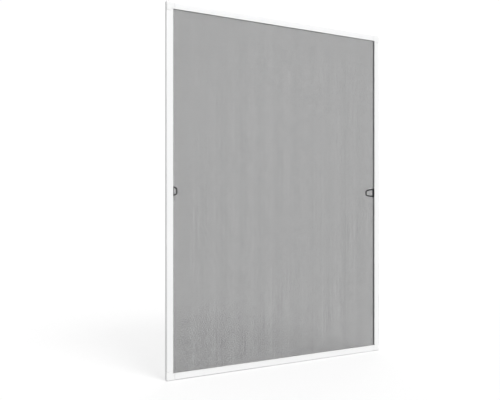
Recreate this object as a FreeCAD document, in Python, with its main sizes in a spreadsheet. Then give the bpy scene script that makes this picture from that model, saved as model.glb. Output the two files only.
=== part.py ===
"""Window insect screen: a slim aluminium frame with plug-in corner blocks, a fine mesh held by
splines, brush seals, hanging hooks and two pull handles.

The frame stands upright. X runs along the width, Y from the outdoor face to the window, and Z up.
The origin is the middle of the bottom rail's underside. All lengths are in millimetres.
A profile's section is given by two distances: how far in from the frame's outer edge, and how far
back from its front face.
"""
import FreeCAD
import Part
import math
import os
import Sketcher

DRIVING_SIZES = {
    # Frame
    "frame_width": 1000,
    "frame_height": 1400,
    "face_width": 27,
    "frame_depth": 11,
    "wall": 1.2,
    "front_edge_radius": 4.5,
    "rear_edge_bevel": 0.8,
    "joint_gap": 0.6,
    "corner_radius": 5.5,
    "corner_arm": 6,
    # Groove for the mesh and its spline, beside the frame's inner edge, and the chamber behind it
    "lip_wall": 1.2,
    "groove_width": 4.2,
    "groove_bead": 0.35,
    "groove_bead_depth": 0.6,
    "screw_chamber_depth": 4.2,
    "mesh_setback": 0.8,
    # Slot for the brush seal, in the rear face
    "slot_from_edge": 9.5,
    "slot_mouth": 3.0,
    "slot_cavity_width": 5.4,
    "slot_cavity_depth": 1.3,
    "slot_lip": 0.9,
    # Corner block's plug-in legs
    "leg_length": 46,
    "leg_clearance": 0.15,
    "leg_tip_chamfer": 1.5,
    "leg_pocket_length": 30,
    "leg_pocket_width": 7,
    "leg_pocket_depth": 2.2,
    "leg_pocket_from_block": 8,
    # Insect mesh
    "mesh_thickness": 0.3,
    "tuck_root_clearance": 0.5,
    "thread_ridge_width": 1.0,
    "thread_ridge_height": 0.2,
    "gap_columns": 9,
    "gap_rows": 12,
    "ridges_per_gap": 3,
    "ridge_end_clearance": 0.5,
    # Spline, a stem in the groove and a flat head that covers the groove and the lip
    "spline_clearance": 0.05,
    "spline_end_clearance": 0.2,
    "spline_root_clearance": 0.3,
    "spline_head_setback": 0.1,
    # Brush seal
    "brush_clearance": 0.15,
    "brush_backing": 1.0,
    "pile_thickness": 2.2,
    "pile_height": 4.5,
    # Hanging hook
    "hook_width": 24,
    "hook_from_corner": 90,
    "hook_plate": 1.2,
    "hook_foot_inner": 24.5,
    "hook_web_inner": 14.2,
    "hook_lip_outer": 4.5,
    "hook_reach": 16,
    "hook_bend_radius": 0.6,
    # Pan-head screws of the hooks
    "screw_diameter": 2.9,
    "screw_clearance": 0.1,
    "hook_screw_from_edge": 17.7,
    "hook_screw_length": 6,
    "pan_head_diameter": 5.6,
    "pan_head_height": 1.8,
    # Pull handle
    "handle_height": 38,
    "handle_middle": 700,
    "handle_base_thickness": 3,
    "handle_base_front": 2.0,
    "handle_base_radius": 2.0,
    "handle_tilt": 42,
    "handle_reach": 33.5,
    "handle_stroke": 5.6,
    "handle_thickness": 4.4,
    "handle_tip_radius": 9,
    "handle_tip_spread": 5,
    "handle_root_depth": 1.8,
    "handle_root_from_rear": 3.9,
    "handle_edge_bevel": 1.3,
    # Countersunk screws of the handles
    "handle_screw_spacing": 15,
    "handle_screw_length": 7.5,
    "countersunk_head_diameter": 5.4,
    "countersunk_head_height": 1.5,
    "countersink_clearance": 0.1,
}

DERIVED_SIZES = {
    # Distances from the frame's outer edge
    "groove_inner": "face_width - lip_wall",
    "groove_outer": "face_width - lip_wall - groove_width",
    "tuck_inner": "groove_inner - spline_clearance",
    "tuck_outer": "tuck_inner - mesh_thickness",
    "stem_inner": "tuck_outer - spline_clearance",
    "stem_outer": "groove_outer + spline_clearance",
    "head_inner": "face_width - spline_head_setback",
    "head_outer": "groove_outer + groove_bead + spline_clearance",
    "slot_inner": "slot_from_edge + slot_mouth / 2",
    "slot_outer": "slot_from_edge - slot_mouth / 2",
    "cavity_inner": "slot_from_edge + slot_cavity_width / 2",
    "cavity_outer": "slot_from_edge - slot_cavity_width / 2",
    "chamber_inner": "groove_outer - wall",
    # Distances from the front face
    "cavity_rear": "frame_depth - slot_lip",
    "cavity_front": "cavity_rear - slot_cavity_depth",
    "slot_floor": "cavity_front - wall",
    "handle_screw_from_rear": "wall + screw_chamber_depth / 2",
    "groove_depth": "frame_depth - 2 * wall - screw_chamber_depth",
    "groove_floor": "groove_depth + wall",
    "tuck_rear": "groove_depth - tuck_root_clearance",
    "mesh_front": "mesh_setback - mesh_thickness",
    "head_rear": "mesh_front - spline_clearance",
    "barb_front": "groove_bead_depth + spline_clearance",
    "stem_rear": "groove_depth - spline_root_clearance",
    # Lengths
    "opening_width": "frame_width - 2 * face_width",
    "opening_height": "frame_height - 2 * face_width",
    "block_reach": "face_width + corner_arm",
    "rail_length": "frame_width - 2 * (block_reach + joint_gap)",
    "stile_length": "frame_height - 2 * (block_reach + joint_gap)",
    "half_depth": "frame_depth / 2",
}

doc = FreeCAD.newDocument("window_insect_screen")
sheet = doc.addObject("Spreadsheet::Sheet", "Sizes")


def fill_sheet():
    """Writes the driving sizes as plain numbers and the derived ones as formulas."""
    row = 0
    for alias, value in DRIVING_SIZES.items():
        row += 1
        sheet.set(f"A{row}", alias)
        sheet.set(f"B{row}", str(value))
        sheet.setAlias(f"B{row}", alias)
    for alias, formula in DERIVED_SIZES.items():
        row += 1
        sheet.set(f"A{row}", alias)
        sheet.set(f"B{row}", f"={formula}")
        sheet.setAlias(f"B{row}", alias)
    doc.recompute()


def bound(expression):
    """Puts the sheet's name before each alias in an expression."""
    words = []
    word = ""
    for letter in expression + " ":
        if letter.isalnum() or letter in "_.":
            word += letter
            continue
        known = word in DRIVING_SIZES or word in DERIVED_SIZES
        words.append(f"Sizes.{word}" if known else word)
        words.append(letter)
        word = ""
    return "".join(words).strip()


def value_of(expression):
    """The number that an expression of the sheet's aliases comes to."""
    return float(sheet.evalExpression(bound(expression)))


def bind(thing, property_path, expression):
    """Ties one property of an object to the sheet."""
    thing.setExpression(property_path, bound(expression))


def place(thing, x="0", y="0", z="0", turn_about_y=0):
    """Sets a sub-part's place from the sheet, turned about Y by whole degrees."""
    axis = FreeCAD.Vector(0, 1, 0)
    thing.Placement = FreeCAD.Placement(FreeCAD.Vector(), FreeCAD.Rotation(axis, turn_about_y))
    bind(thing, "Placement.Base.x", x)
    bind(thing, "Placement.Base.y", y)
    bind(thing, "Placement.Base.z", z)


def new_body(name):
    """A body for one sub-part, labelled with the name of its file."""
    body = doc.addObject("PartDesign::Body", name)
    body.Label = name
    return body


def new_sketch(body, name, plane, offset="0"):
    """A sketch on one of the body's own origin planes, moved along the plane's normal."""
    sketch = body.newObject("Sketcher::SketchObject", name)
    origin_plane = [item for item in body.Origin.OriginFeatures if item.Role == plane][0]
    sketch.AttachmentSupport = (origin_plane, [""])
    sketch.MapMode = "FlatFace"
    bind(sketch, "AttachmentOffset.Base.z", offset)
    return sketch


def constrain_point(sketch, geometry, point, x, y):
    """Ties a point of a sketch to two expressions, measured from the sketch's origin."""
    across = Sketcher.Constraint("DistanceX", -1, 1, geometry, point, value_of(x))
    upward = Sketcher.Constraint("DistanceY", -1, 1, geometry, point, value_of(y))
    bind(sketch, f"Constraints[{sketch.addConstraint(across)}]", x)
    bind(sketch, f"Constraints[{sketch.addConstraint(upward)}]", y)


def draw_polygon(sketch, corners):
    """A closed outline of straight sides through corners given as pairs of expressions."""
    points = [FreeCAD.Vector(value_of(x), value_of(y), 0) for x, y in corners]
    sides = []
    for number, start in enumerate(points):
        end = points[(number + 1) % len(points)]
        sides.append(sketch.addGeometry(Part.LineSegment(start, end)))
    for number, side in enumerate(sides):
        following = sides[(number + 1) % len(sides)]
        sketch.addConstraint(Sketcher.Constraint("Coincident", side, 2, following, 1))
        constrain_point(sketch, side, 1, *corners[number])


def draw_square_outline(sketch, sides, rounding=None):
    """A closed outline whose sides are upright and level in turn.

    sides holds one expression a side: the x of an upright side, then the y of a level one, and so
    on. rounding gives the radius of the corner that follows a side, by the side's number.
    """
    rounding = rounding or {}
    count = len(sides)
    values = [value_of(side) for side in sides]
    corners = []
    for number in range(count):
        following = (number + 1) % count
        upright = number % 2 == 0
        x = values[number] if upright else values[following]
        y = values[following] if upright else values[number]
        corners.append(FreeCAD.Vector(x, y, 0))
    radii = [value_of(rounding[number]) if number in rounding else 0.0 for number in range(count)]
    along = []
    for number in range(count):
        direction = corners[number] - corners[number - 1]
        along.append(direction.normalize())
    lines = []
    for number in range(count):
        start = corners[number - 1] + along[number] * radii[number - 1]
        end = corners[number] - along[number] * radii[number]
        lines.append(sketch.addGeometry(Part.LineSegment(start, end)))
    for number, line in enumerate(lines):
        upright = number % 2 == 0
        direction = "Vertical" if upright else "Horizontal"
        distance = "DistanceX" if upright else "DistanceY"
        sketch.addConstraint(Sketcher.Constraint(direction, line))
        place_of_side = Sketcher.Constraint(distance, -1, 1, line, 1, values[number])
        bind(sketch, f"Constraints[{sketch.addConstraint(place_of_side)}]", sides[number])
    for number, line in enumerate(lines):
        following = lines[(number + 1) % count]
        if number not in rounding:
            sketch.addConstraint(Sketcher.Constraint("Coincident", line, 2, following, 1))
            continue
        incoming = along[number]
        outgoing = along[(number + 1) % count]
        round_corner(sketch, line, following, corners[number], incoming, outgoing,
                     rounding[number])


def round_corner(sketch, line, following, corner, incoming, outgoing, radius):
    """Joins two sides of an outline by an arc that is tangent to both."""
    size = value_of(radius)
    centre = corner + (outgoing - incoming) * size
    start = corner - incoming * size - centre
    end = corner + outgoing * size - centre
    turns_left = incoming.cross(outgoing).z > 0
    first, last = (start, end) if turns_left else (end, start)
    circle = Part.Circle(centre, FreeCAD.Vector(0, 0, 1), size)
    from_angle = math.atan2(first.y, first.x)
    to_angle = math.atan2(last.y, last.x)
    arc = sketch.addGeometry(Part.ArcOfCircle(circle, from_angle, to_angle))
    arc_start = 1 if turns_left else 2
    arc_end = 2 if turns_left else 1
    sketch.addConstraint(Sketcher.Constraint("Tangent", line, 2, arc, arc_start))
    sketch.addConstraint(Sketcher.Constraint("Tangent", arc, arc_end, following, 1))
    size_of_arc = Sketcher.Constraint("Radius", arc, size)
    bind(sketch, f"Constraints[{sketch.addConstraint(size_of_arc)}]", radius)


def draw_circle(sketch, x, y, diameter):
    """A circle whose middle and diameter follow the sheet."""
    middle = FreeCAD.Vector(value_of(x), value_of(y), 0)
    circle = Part.Circle(middle, FreeCAD.Vector(0, 0, 1), value_of(diameter) / 2)
    number = sketch.addGeometry(circle)
    constrain_point(sketch, number, 3, x, y)
    size = Sketcher.Constraint("Diameter", number, value_of(diameter))
    bind(sketch, f"Constraints[{sketch.addConstraint(size)}]", diameter)


def add_pad(body, sketch, length, symmetric=False, reversed_way=False):
    """Raises a sketch by a length from the sheet."""
    pad = body.newObject("PartDesign::Pad", sketch.Name + "Pad")
    pad.Profile = sketch
    bind(pad, "Length", length)
    pad.SideType = "Symmetric" if symmetric else "One side"
    pad.Reversed = reversed_way
    return pad


def add_pocket(body, sketch, depth):
    """Cuts a sketch into the body, half the depth to each side of the sketch's plane."""
    doc.recompute()
    before = body.Shape.Volume
    pocket = body.newObject("PartDesign::Pocket", sketch.Name + "Pocket")
    pocket.Profile = sketch
    bind(pocket, "Length", depth)
    pocket.SideType = "Symmetric"
    doc.recompute()
    if body.Shape.Volume >= before:
        raise RuntimeError(f"{pocket.Name} cuts nothing")
    return pocket


def edges_where(shape, test):
    """The names of a shape's edges that pass a test."""
    return [f"Edge{number + 1}" for number, edge in enumerate(shape.Edges) if test(edge)]


def add_fillet(body, base, edge_names, radius, name):
    """Rounds edges of the body's last feature."""
    fillet = body.newObject("PartDesign::Fillet", name)
    fillet.Base = (base, edge_names)
    bind(fillet, "Radius", radius)
    return fillet


def add_chamfer(body, base, edge_names, size, name):
    """Bevels edges of the body's last feature."""
    chamfer = body.newObject("PartDesign::Chamfer", name)
    chamfer.Base = (base, edge_names)
    bind(chamfer, "Size", size)
    return chamfer


def back(distance):
    """The Y of a distance back from the frame's front face."""
    return f"({distance}) - half_depth"


def inward(distance):
    """The Z of a distance in from the outer edge of a profile that lies along the top."""
    return f"0 - ({distance})"


def section_of_profile(sketch):
    """The extrusion's section: Y is the sketch's x and Z its y, with the outer edge at the top."""
    outline = [
        back("0"), inward("groove_outer + groove_bead"),
        back("groove_bead_depth"), inward("groove_outer"),
        back("groove_depth"), inward("groove_inner"),
        back("mesh_setback"), inward("face_width"),
        back("frame_depth"), inward("slot_inner"),
        back("cavity_rear"), inward("cavity_inner"),
        back("cavity_front"), inward("cavity_outer"),
        back("cavity_rear"), inward("slot_outer"),
        back("frame_depth"), inward("0"),
    ]
    draw_square_outline(sketch, outline, {len(outline) - 1: "front_edge_radius"})
    main_chamber = [
        back("wall"), inward("chamber_inner"),
        back("frame_depth - wall"), inward("cavity_inner + wall"),
        back("slot_floor"), inward("cavity_outer - wall"),
        back("frame_depth - wall"), inward("wall"),
    ]
    draw_square_outline(sketch, main_chamber, {7: "front_edge_radius - wall"})
    groove_chamber = [
        back("groove_floor"), inward("groove_inner"),
        back("frame_depth - wall"), inward("groove_outer"),
    ]
    draw_square_outline(sketch, groove_chamber)


def make_profile(name, length):
    """A hollow extrusion that lies along X with its outer edge up."""
    body = new_body(name)
    section = new_sketch(body, name + "_section", "YZ_Plane")
    section_of_profile(section)
    pad = add_pad(body, section, length, symmetric=True)
    doc.recompute()
    rear = value_of("half_depth")

    def on_rear_corner(edge):
        middle = edge.CenterOfMass
        return abs(middle.y - rear) < 1e-6 and abs(middle.z) < 1e-6

    add_chamfer(body, pad, edges_where(pad.Shape, on_rear_corner), "rear_edge_bevel", name + "_rear")
    return body


def drill_hook_holes(rail):
    """A hole in a rail's rear wall for the screw of each hook."""
    holes = new_sketch(rail, rail.Name + "_holes", "XZ_Plane", "0 - half_depth")
    for side in (-1, 1):
        x = f"{side} * (frame_width / 2 - hook_from_corner)"
        draw_circle(holes, x, inward("hook_screw_from_edge"), "screw_diameter + screw_clearance")
    add_pocket(rail, holes, "3 * wall")


def drill_handle_holes(stile, along):
    """Holes in a stile's inner wall for the screws of its handle."""
    holes = new_sketch(stile, stile.Name + "_holes", "XY_Plane", inward("face_width"))
    for place_on_handle in (-0.5, 0.5):
        x = f"{along} + {place_on_handle} * handle_screw_spacing"
        y = back("frame_depth - handle_screw_from_rear")
        draw_circle(holes, x, y, "screw_diameter + screw_clearance")
    add_pocket(stile, holes, "3 * wall")


def make_frame_profiles():
    """The two rails between the corner blocks and the two stiles."""
    top = make_profile("top_rail", "rail_length")
    drill_hook_holes(top)
    place(top, z="frame_height")
    bottom = make_profile("bottom_rail", "rail_length")
    drill_hook_holes(bottom)
    place(bottom, turn_about_y=180)
    left = make_profile("left_stile", "stile_length")
    drill_handle_holes(left, "handle_middle - frame_height / 2")
    place(left, x="0 - frame_width / 2", z="frame_height / 2", turn_about_y=-90)
    right = make_profile("right_stile", "stile_length")
    drill_handle_holes(right, "frame_height / 2 - handle_middle")
    place(right, x="frame_width / 2", z="frame_height / 2", turn_about_y=90)
    return [top, bottom, left, right]


def make_corner(name):
    """A moulded L for the top left corner, flush with the profiles, with a leg for each."""
    body = new_body(name)
    block = new_sketch(body, name + "_block", "XZ_Plane")
    draw_square_outline(block, [
        "0", "0", "block_reach", inward("face_width"), "face_width", inward("block_reach"),
    ], {0: "corner_radius"})
    block_pad = add_pad(body, block, "frame_depth", symmetric=True)
    doc.recompute()
    add_front_rounding(body, block_pad, name)
    cut_corner_groove(body, name)
    add_leg_along_rail(body, name)
    add_leg_down_stile(body, name)
    return body


def add_front_rounding(body, block_pad, name):
    """Carries the profiles' rounded front edge and bevelled rear edge round the block."""
    front = -value_of("half_depth")
    rear = value_of("half_depth")
    inner = value_of("face_width")

    def on_outside(edge, depth):
        middle = edge.CenterOfMass
        flat = abs(middle.y - depth) < 1e-6
        return flat and middle.x < inner - 0.01 and middle.z > 0.01 - inner

    front_edges = edges_where(block_pad.Shape, lambda edge: on_outside(edge, front))
    fillet = add_fillet(body, block_pad, front_edges, "front_edge_radius", name + "_front_edge")
    doc.recompute()
    rear_edges = edges_where(fillet.Shape, lambda edge: on_outside(edge, rear))
    add_chamfer(body, fillet, rear_edges, "rear_edge_bevel", name + "_rear_edge")
    doc.recompute()


def cut_corner_groove(body, name):
    """Turns the spline groove through the block, and steps its inner lip back for the mesh."""
    groove = new_sketch(body, name + "_groove", "XZ_Plane", "half_depth")
    draw_square_outline(groove, [
        "groove_outer", inward("groove_outer"),
        "block_reach + wall", inward("groove_inner"),
        "groove_inner", inward("block_reach + wall"),
    ])
    add_pocket(body, groove, "2 * groove_depth")
    lip = new_sketch(body, name + "_lip", "XZ_Plane", "half_depth")
    draw_square_outline(lip, [
        "groove_inner", inward("groove_inner"),
        "block_reach + wall", inward("block_reach + wall"),
    ])
    add_pocket(body, lip, "2 * mesh_setback")


def leg_section(sketch, front_to_rear, across):
    """A leg's section in the profile's main chamber, clear of its walls all round."""
    front = back("wall + leg_clearance")
    rear = back("slot_floor - leg_clearance")
    outer = across("front_edge_radius")
    inner = across("chamber_inner - leg_clearance")
    sides = [front, outer, rear, inner] if front_to_rear == "x" else [outer, front, inner, rear]
    draw_square_outline(sketch, sides)


def add_leg_along_rail(body, name):
    """The leg that plugs into the rail, with its lightening pocket."""
    leg = new_sketch(body, name + "_rail_leg", "YZ_Plane", "block_reach")
    leg_section(leg, "x", inward)
    pad = add_pad(body, leg, "leg_length")
    doc.recompute()
    tip = value_of("block_reach + leg_length")
    tips = edges_where(pad.Shape, lambda edge: abs(edge.CenterOfMass.x - tip) < 1e-6)
    add_chamfer(body, pad, tips, "leg_tip_chamfer", name + "_rail_leg_tip")
    pocket = new_sketch(body, name + "_rail_leg_pocket", "XZ_Plane", "half_depth - wall - leg_clearance")
    middle = "(front_edge_radius + chamber_inner - leg_clearance) / 2"
    draw_square_outline(pocket, [
        "block_reach + leg_pocket_from_block", inward(f"{middle} - leg_pocket_width / 2"),
        "block_reach + leg_pocket_from_block + leg_pocket_length",
        inward(f"{middle} + leg_pocket_width / 2"),
    ])
    add_pocket(body, pocket, "2 * leg_pocket_depth")


def add_leg_down_stile(body, name):
    """The leg that plugs into the stile, the same as the other turned a quarter."""
    leg = new_sketch(body, name + "_stile_leg", "XY_Plane", inward("block_reach"))
    leg_section(leg, "y", str)
    pad = add_pad(body, leg, "leg_length", reversed_way=True)
    doc.recompute()
    tip = value_of(inward("block_reach + leg_length"))
    tips = edges_where(pad.Shape, lambda edge: abs(edge.CenterOfMass.z - tip) < 1e-6)
    add_chamfer(body, pad, tips, "leg_tip_chamfer", name + "_stile_leg_tip")
    pocket = new_sketch(body, name + "_stile_leg_pocket", "XZ_Plane", "half_depth - wall - leg_clearance")
    middle = "(front_edge_radius + chamber_inner - leg_clearance) / 2"
    draw_square_outline(pocket, [
        f"{middle} - leg_pocket_width / 2", inward("block_reach + leg_pocket_from_block"),
        f"{middle} + leg_pocket_width / 2",
        inward("block_reach + leg_pocket_from_block + leg_pocket_length"),
    ])
    add_pocket(body, pocket, "2 * leg_pocket_depth")


def make_corners():
    """Four copies of the same moulding, each turned a quarter from the last."""
    top_left = make_corner("corner_top_left")
    place(top_left, x="0 - frame_width / 2", z="frame_height")
    top_right = make_corner("corner_top_right")
    place(top_right, x="frame_width / 2", z="frame_height", turn_about_y=90)
    bottom_right = make_corner("corner_bottom_right")
    place(bottom_right, x="frame_width / 2", turn_about_y=180)
    bottom_left = make_corner("corner_bottom_left")
    place(bottom_left, x="0 - frame_width / 2", turn_about_y=270)
    return [top_left, top_right, bottom_right, bottom_left]


def centred_rectangle(sketch, half_width, half_height):
    """A rectangle about the sketch's origin."""
    draw_square_outline(sketch, [
        f"0 - ({half_width})", f"0 - ({half_height})", half_width, half_height,
    ])


def add_ridges(body, name, upright, rear):
    """A row of thread ridges on one face of the mesh, evenly spaced over the opening."""
    face = "mesh_setback" if rear else "mesh_front"
    sketch = new_sketch(body, name, "XZ_Plane", f"half_depth - {face}")
    span = "opening_width" if upright else "opening_height"
    gaps = "gap_columns" if upright else "gap_rows"
    first = f"0 - {span} / 2 + {span} / ({gaps} * ridges_per_gap)"
    half = "thread_ridge_width / 2"
    length = "opening_height" if upright else "opening_width"
    end = f"{length} / 2 - ridge_end_clearance"
    if upright:
        sides = [f"{first} - {half}", f"0 - ({end})", f"{first} + {half}", end]
    else:
        sides = [f"0 - ({end})", f"{first} - {half}", end, f"{first} + {half}"]
    draw_square_outline(sketch, sides)
    ridge = add_pad(body, sketch, "thread_ridge_height", reversed_way=rear)
    pattern = body.newObject("PartDesign::LinearPattern", name + "_row")
    pattern.Originals = [ridge]
    axis = "X_Axis" if upright else "Z_Axis"
    origin_axis = [item for item in body.Origin.OriginFeatures if item.Role == axis][0]
    pattern.Direction = (origin_axis, [""])
    bind(pattern, "Length", f"{span} - 2 * {span} / ({gaps} * ridges_per_gap)")
    bind(pattern, "Occurrences", f"{gaps} * ridges_per_gap - 1")
    body.Tip = pattern
    doc.recompute()


def cut_gaps(body):
    """One open cell of the weave in each field of the mesh, between two ridges each way."""
    pitch_x = "opening_width / (gap_columns * ridges_per_gap)"
    pitch_z = "opening_height / (gap_rows * ridges_per_gap)"
    middle_cell = "floor(ridges_per_gap / 2)"
    left = f"0 - opening_width / 2 + {middle_cell} * {pitch_x} + thread_ridge_width / 2"
    low = f"0 - opening_height / 2 + {middle_cell} * {pitch_z} + thread_ridge_width / 2"
    sketch = new_sketch(body, "mesh_gap", "XZ_Plane", "half_depth - mesh_setback")
    draw_square_outline(sketch, [
        left, low,
        f"{left} + {pitch_x} - thread_ridge_width", f"{low} + {pitch_z} - thread_ridge_width",
    ])
    gap = add_pocket(body, sketch, "4 * mesh_thickness")
    pattern = body.newObject("PartDesign::LinearPattern", "mesh_gaps")
    pattern.Originals = [gap]
    axes = {item.Role: item for item in body.Origin.OriginFeatures}
    pattern.Direction = (axes["X_Axis"], [""])
    bind(pattern, "Length", "opening_width - opening_width / gap_columns")
    bind(pattern, "Occurrences", "gap_columns")
    pattern.Direction2 = (axes["Z_Axis"], [""])
    bind(pattern, "Length2", "opening_height - opening_height / gap_rows")
    bind(pattern, "Occurrences2", "gap_rows")
    body.Tip = pattern
    doc.recompute()


def make_insect_mesh():
    """The mesh: a thin wall with thread ridges and open cells, its edges tucked into the groove."""
    body = new_body("insect_mesh")
    panel = new_sketch(body, "mesh_panel", "XZ_Plane", "half_depth - mesh_setback")
    half_width = "frame_width / 2 - tuck_outer"
    half_height = "frame_height / 2 - tuck_outer"
    centred_rectangle(panel, half_width, half_height)
    add_pad(body, panel, "mesh_thickness")
    tuck = new_sketch(body, "mesh_tuck", "XZ_Plane", "half_depth - mesh_setback")
    centred_rectangle(tuck, half_width, half_height)
    centred_rectangle(tuck, "frame_width / 2 - tuck_inner", "frame_height / 2 - tuck_inner")
    add_pad(body, tuck, "tuck_rear - mesh_setback", reversed_way=True)
    doc.recompute()
    add_ridges(body, "warp_ridge", upright=True, rear=False)
    add_ridges(body, "weft_ridge", upright=False, rear=True)
    cut_gaps(body)
    place(body, z="frame_height / 2")
    return body


def make_spline(name, length):
    """A barbed strip that holds the mesh in the groove of one side, flush with the front face."""
    body = new_body(name)
    section = new_sketch(body, name + "_section", "YZ_Plane")
    draw_square_outline(section, [
        back("0"), inward("head_inner"), back("head_rear"), inward("stem_inner"),
        back("stem_rear"), inward("stem_outer"), back("barb_front"), inward("head_outer"),
    ])
    add_pad(body, section, length, symmetric=True)
    return body


def make_splines():
    """Splines across the top and bottom, and two shorter ones between them."""
    across = "frame_width - 2 * (groove_outer + spline_end_clearance)"
    upright = "frame_height - 2 * (face_width + spline_end_clearance)"
    top = make_spline("spline_top", across)
    place(top, z="frame_height")
    bottom = make_spline("spline_bottom", across)
    place(bottom, turn_about_y=180)
    left = make_spline("spline_left", upright)
    place(left, x="0 - frame_width / 2", z="frame_height / 2", turn_about_y=-90)
    right = make_spline("spline_right", upright)
    place(right, x="frame_width / 2", z="frame_height / 2", turn_about_y=90)
    return [top, bottom, left, right]


def make_brush_seal(name, length):
    """A strip of pile on a backing that slides in the rear slot of one profile."""
    body = new_body(name)
    section = new_sketch(body, name + "_section", "YZ_Plane")
    floor = "cavity_front + brush_clearance"
    half_backing = "(slot_cavity_width / 2 - brush_clearance)"
    half_pile = "pile_thickness / 2"
    draw_square_outline(section, [
        back(floor), inward(f"slot_from_edge + {half_backing}"),
        back(f"{floor} + brush_backing"), inward(f"slot_from_edge + {half_pile}"),
        back("frame_depth + pile_height"), inward(f"slot_from_edge - {half_pile}"),
        back(f"{floor} + brush_backing"), inward(f"slot_from_edge - {half_backing}"),
    ])
    add_pad(body, section, length, symmetric=True)
    return body


def make_brush_seals():
    """One brush seal for each profile, as long as the profile."""
    top = make_brush_seal("brush_seal_top", "rail_length")
    place(top, z="frame_height")
    bottom = make_brush_seal("brush_seal_bottom", "rail_length")
    place(bottom, turn_about_y=180)
    left = make_brush_seal("brush_seal_left", "stile_length")
    place(left, x="0 - frame_width / 2", z="frame_height / 2", turn_about_y=-90)
    right = make_brush_seal("brush_seal_right", "stile_length")
    place(right, x="frame_width / 2", z="frame_height / 2", turn_about_y=90)
    return [top, bottom, left, right]


def make_hook(name):
    """A bent plate: a foot on the rail's rear face, a web and a lip that grips the window frame."""
    body = new_body(name)
    section = new_sketch(body, name + "_section", "YZ_Plane")
    outer_radius = "hook_bend_radius + hook_plate"
    draw_square_outline(section, [
        back("frame_depth"), inward("hook_foot_inner"),
        back("frame_depth + hook_plate"), inward("hook_web_inner"),
        back("frame_depth + hook_reach"), inward("hook_lip_outer"),
        back("frame_depth + hook_reach - hook_plate"), inward("hook_web_inner - hook_plate"),
    ], {2: "hook_bend_radius", 3: outer_radius, 6: "hook_bend_radius", 7: outer_radius})
    add_pad(body, section, "hook_width", symmetric=True)
    hole = new_sketch(body, name + "_hole", "XZ_Plane", "0 - half_depth")
    draw_circle(hole, "0", inward("hook_screw_from_edge"), "screw_diameter + 3 * screw_clearance")
    add_pocket(body, hole, "3 * hook_plate")
    return body


def make_hooks():
    """Two hooks on each rail, near the corners."""
    hooks = []
    for level, height, turn in (("top", "frame_height", 0), ("bottom", "0", 180)):
        for side, sign in (("left", -1), ("right", 1)):
            hook = make_hook(f"hook_{level}_{side}")
            place(hook, x=f"{sign} * (frame_width / 2 - hook_from_corner)", z=height, turn_about_y=turn)
            hooks.append(hook)
    return hooks


def make_pan_head_screw(name):
    """A screw along Y whose head rests at the origin and whose shank runs to the front."""
    body = new_body(name)
    half = new_sketch(body, name + "_half", "XY_Plane")
    draw_square_outline(half, [
        "0", "0 - hook_screw_length", "screw_diameter / 2", "0",
        "pan_head_diameter / 2", "pan_head_height",
    ])
    spin(body, half, "Y_Axis")
    return body


def make_countersunk_screw(name):
    """A screw along X with its flat head at the origin and its shank running back."""
    body = new_body(name)
    half = new_sketch(body, name + "_half", "XY_Plane")
    draw_polygon(half, [
        ("0", "0"), ("0", "countersunk_head_diameter / 2"),
        ("0 - countersunk_head_height", "screw_diameter / 2"),
        ("0 - handle_screw_length", "screw_diameter / 2"), ("0 - handle_screw_length", "0"),
    ])
    spin(body, half, "X_Axis")
    return body


def spin(body, sketch, axis):
    """Turns a half section into a solid of revolution about one of the body's axes."""
    revolution = body.newObject("PartDesign::Revolution", sketch.Name + "_turned")
    revolution.Profile = sketch
    origin_axis = [item for item in body.Origin.OriginFeatures if item.Role == axis][0]
    revolution.ReferenceAxis = (origin_axis, [""])
    revolution.Angle = 360
    return revolution


def gather(name, pieces):
    """One node of several separate solids."""
    group = doc.addObject("Part::Compound", name)
    group.Label = name
    group.Links = pieces
    return group


def make_hook_screws():
    """One screw for each hook, as one group."""
    screws = []
    for level, height, turn in (("top", "frame_height", 1), ("bottom", "0", -1)):
        for side, sign in (("left", -1), ("right", 1)):
            screw = make_pan_head_screw(f"hook_screw_{level}_{side}")
            place(screw, x=f"{sign} * (frame_width / 2 - hook_from_corner)",
                  y=back("frame_depth + hook_plate"),
                  z=f"{height} - {turn} * hook_screw_from_edge")
            screws.append(screw)
    return gather("hook_screws", screws)


def make_handle(name):
    """A pull handle for the left stile: a screwed base and a loop tilted towards the room."""
    body = new_body(name)
    loop = new_sketch(body, name + "_loop", "XZ_Plane")
    loop.AttachmentOffset = FreeCAD.Placement(
        FreeCAD.Vector(), FreeCAD.Rotation(FreeCAD.Vector(0, 1, 0), value_of("handle_tilt")))
    bind(loop, "AttachmentOffset.Base.x", "handle_root_depth")
    bind(loop, "AttachmentOffset.Base.z", "0 - (half_depth - handle_root_from_rear)")
    bind(loop, "AttachmentOffset.Rotation.Angle", "handle_tilt * 1 deg")
    half = "handle_height / 2"
    draw_loop(loop, "0", half, "handle_tip_radius")
    inner_half = "handle_height / 2 - handle_stroke"
    draw_loop(loop, "handle_root_depth", inner_half, "handle_tip_radius - handle_stroke")
    pad = add_pad(body, loop, "handle_thickness", symmetric=True)
    doc.recompute()
    through = value_of("handle_thickness")
    rims = edges_where(pad.Shape, lambda edge: abs(edge.Length - through) > 1e-6
                       and edge.BoundBox.XLength > 1e-6)
    add_chamfer(body, pad, rims, "handle_edge_bevel", name + "_edge")
    base = new_sketch(body, name + "_base", "YZ_Plane")
    draw_square_outline(base, [
        back("handle_base_front"), half, back("frame_depth"), f"0 - {half}",
    ], {number: "handle_base_radius" for number in range(4)})
    add_pad(body, base, "handle_base_thickness")
    drill_handle_base(body, name)
    return body


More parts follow.
